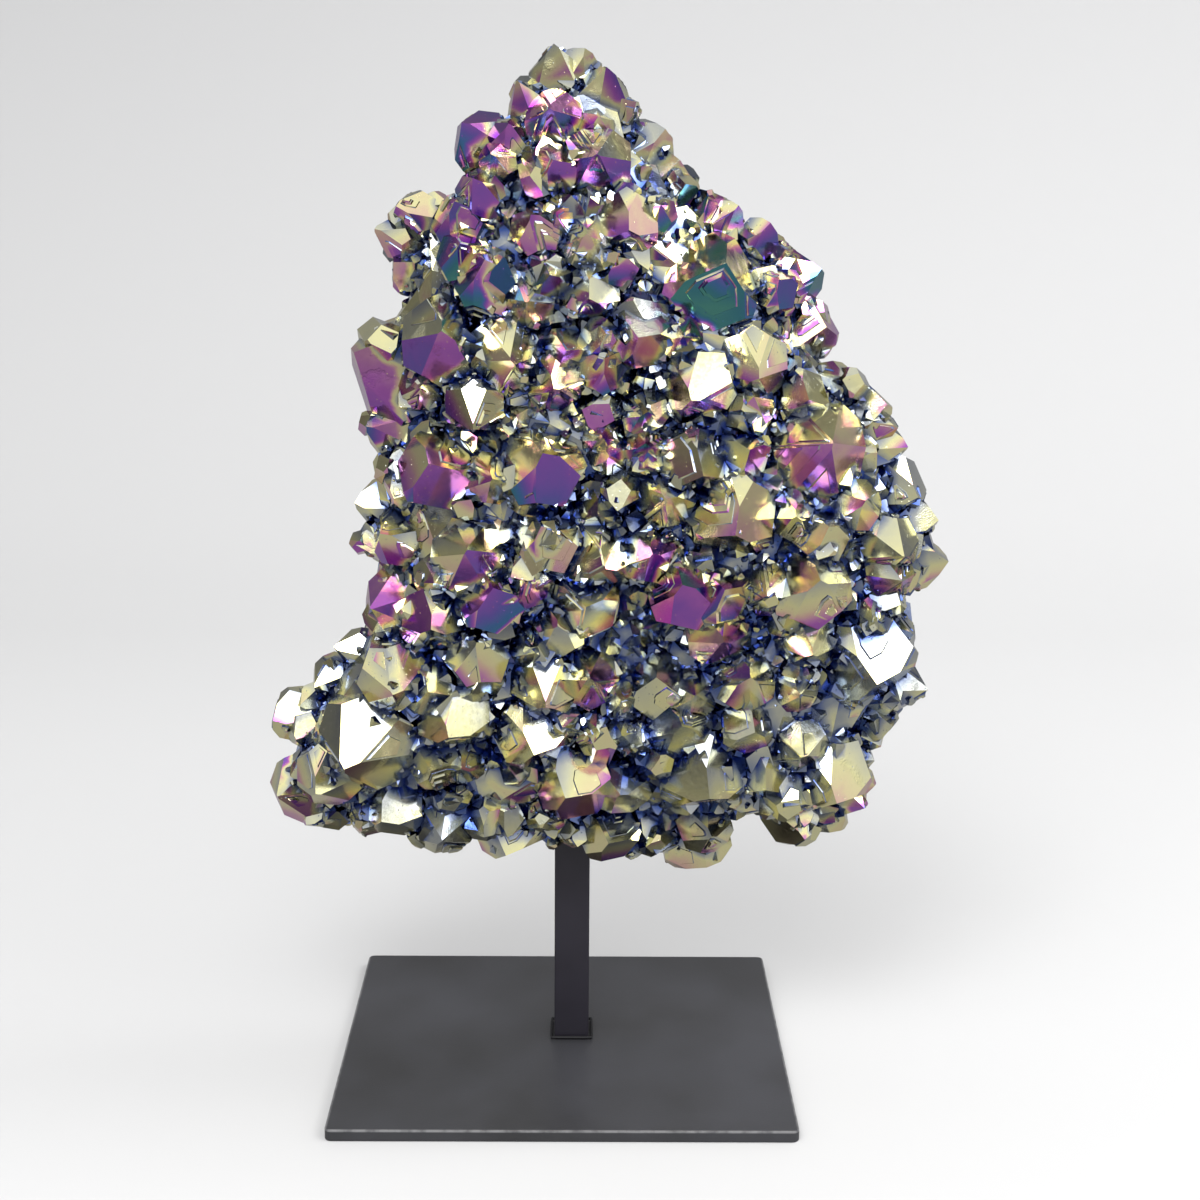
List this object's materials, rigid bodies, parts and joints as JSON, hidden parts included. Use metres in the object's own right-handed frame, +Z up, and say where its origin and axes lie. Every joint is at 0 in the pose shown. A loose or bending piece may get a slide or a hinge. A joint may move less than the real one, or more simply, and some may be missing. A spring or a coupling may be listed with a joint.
{
  "type": "amethyst cluster on stand",
  "caption": "Upright plate-like cluster of stubby crystals with a rainbow metallic coating, held on a square post that rises from a flat black steel plate.",
  "frame": {"origin": "middle of the base plate's underside", "axes": "+Z up along the post, -Y out of the crystal face, +X to the right of someone who looks at that face"},
  "size_m": [0.2254, 0.127, 0.3385],
  "materials": {
    "coated_quartz": "natural quartz points under a thin, shiny metal-oxide film that turns gold, magenta, violet, blue and teal",
    "black_steel": "satin black lacquer over mild steel"
  },
  "bodies": {
    "root": {"amethyst_cluster": "coated_quartz", "post": "black_steel", "weld_bead": "black_steel", "base_plate": "black_steel"}
  },
  "joints": []
}
